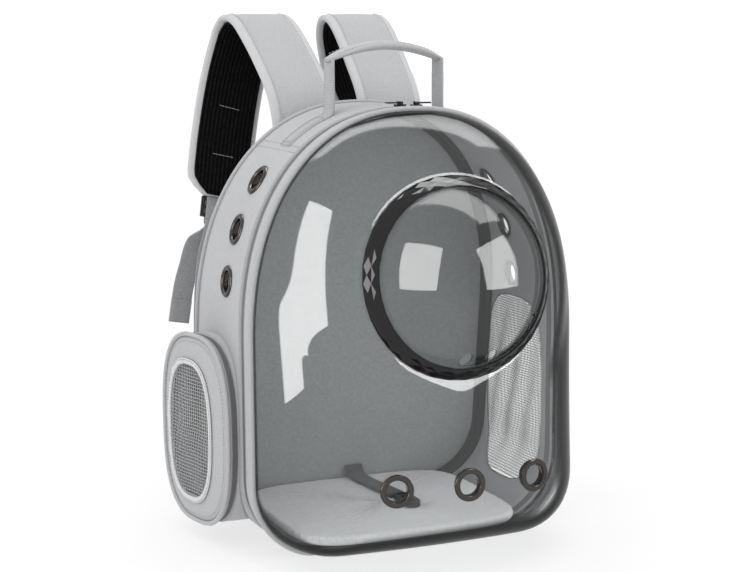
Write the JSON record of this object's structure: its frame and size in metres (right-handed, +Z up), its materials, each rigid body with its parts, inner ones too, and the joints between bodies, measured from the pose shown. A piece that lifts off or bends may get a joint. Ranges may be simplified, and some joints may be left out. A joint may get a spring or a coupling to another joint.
{
  "type": "bubble pet carrier backpack",
  "caption": "Pet carrier backpack with a clear moulded front, a domed bubble window, grommeted air holes, a side pocket, a carry handle and padded shoulder straps.",
  "frame": {"origin": "on the surface that the bag stands on, under the middle of the fabric base", "axes": "+Z up, -Y towards the bubble window in front, +Y towards the wearer's back"},
  "size_m": [0.3703, 0.467, 0.5071],
  "materials": {
    "light_fabric": "woven, light grey",
    "inner_fabric": "woven, mid grey",
    "fleece": "fleece, off-white",
    "net": "net, light grey",
    "spacer_mesh": "spacer mesh, black",
    "webbing": "ribbed webbing, grey",
    "zip": "zip tape with coil teeth, grey",
    "black_plastic": "polished black",
    "clear_plastic": "clear, faintly smoke-tinted",
    "gunmetal": "dark gunmetal plating"
  },
  "bodies": {
    "bag": {"front_piping": "light_fabric", "front_band": "light_fabric", "front_zip": "zip", "window_panel": "clear_plastic", "gusset": "light_fabric", "left_side_mesh": "net", "right_side_mesh": "net", "back_piping": "light_fabric", "back_panel": "light_fabric", "pocket_wall": "light_fabric", "pocket_zip": "zip", "pocket_rim": "light_fabric", "pocket_piping": "light_fabric", "pocket_face": "light_fabric", "pocket_window_tape": "light_fabric", "pocket_mesh": "net", "handle_grip": "light_fabric", "left_handle_webbing": "webbing", "right_handle_webbing": "webbing", "floor_board": "inner_fabric", "floor_mat": "fleece", "leash_strap": "webbing", "leash_hook": "black_plastic", "left_strap_pad": "light_fabric", "left_strap_mesh": "spacer_mesh", "left_webbing": "webbing", "left_strap_tail": "webbing", "left_glide": "black_plastic", "left_zip_slider": "black_plastic", "right_strap_pad": "light_fabric", "right_strap_mesh": "spacer_mesh", "right_webbing": "webbing", "right_strap_tail": "webbing", "right_glide": "black_plastic", "right_zip_slider": "black_plastic", "front_grommet_1": "gunmetal", "front_grommet_2": "gunmetal", "front_grommet_3": "gunmetal", "left_grommet_1": "gunmetal", "left_grommet_2": "gunmetal", "left_grommet_3": "gunmetal", "right_grommet_1": "gunmetal", "right_grommet_2": "gunmetal", "right_grommet_3": "gunmetal"},
    "bubble": {"bubble_dome": "clear_plastic"},
    "ring": {"bubble_ring": "black_plastic"},
    "left_pull": {"left_zip_pull": "black_plastic"},
    "right_pull": {"right_zip_pull": "black_plastic"}
  },
  "joints": [
    {"name": "bubble_pull", "type": "slide", "parent": "bag", "child": "bubble", "axis": [0, -0.988, 0.1547], "range_m": [0, 0.08]},
    {"name": "ring_turn", "type": "hinge", "parent": "bubble", "child": "ring", "pos_m": [0, -0.188, 0.2734], "axis": [0, -0.988, 0.1547], "range_deg": [0, 30]},
    {"name": "left_pull_swing", "type": "hinge", "parent": "bag", "child": "left_pull", "pos_m": [-0.0025, -0.0682, 0.4247], "axis": [0, 1, 0], "range_deg": [0, 120]},
    {"name": "right_pull_swing", "type": "hinge", "parent": "bag", "child": "right_pull", "pos_m": [0.0145, -0.0682, 0.4241], "axis": [0, -1, 0], "range_deg": [0, 120]}
  ]
}
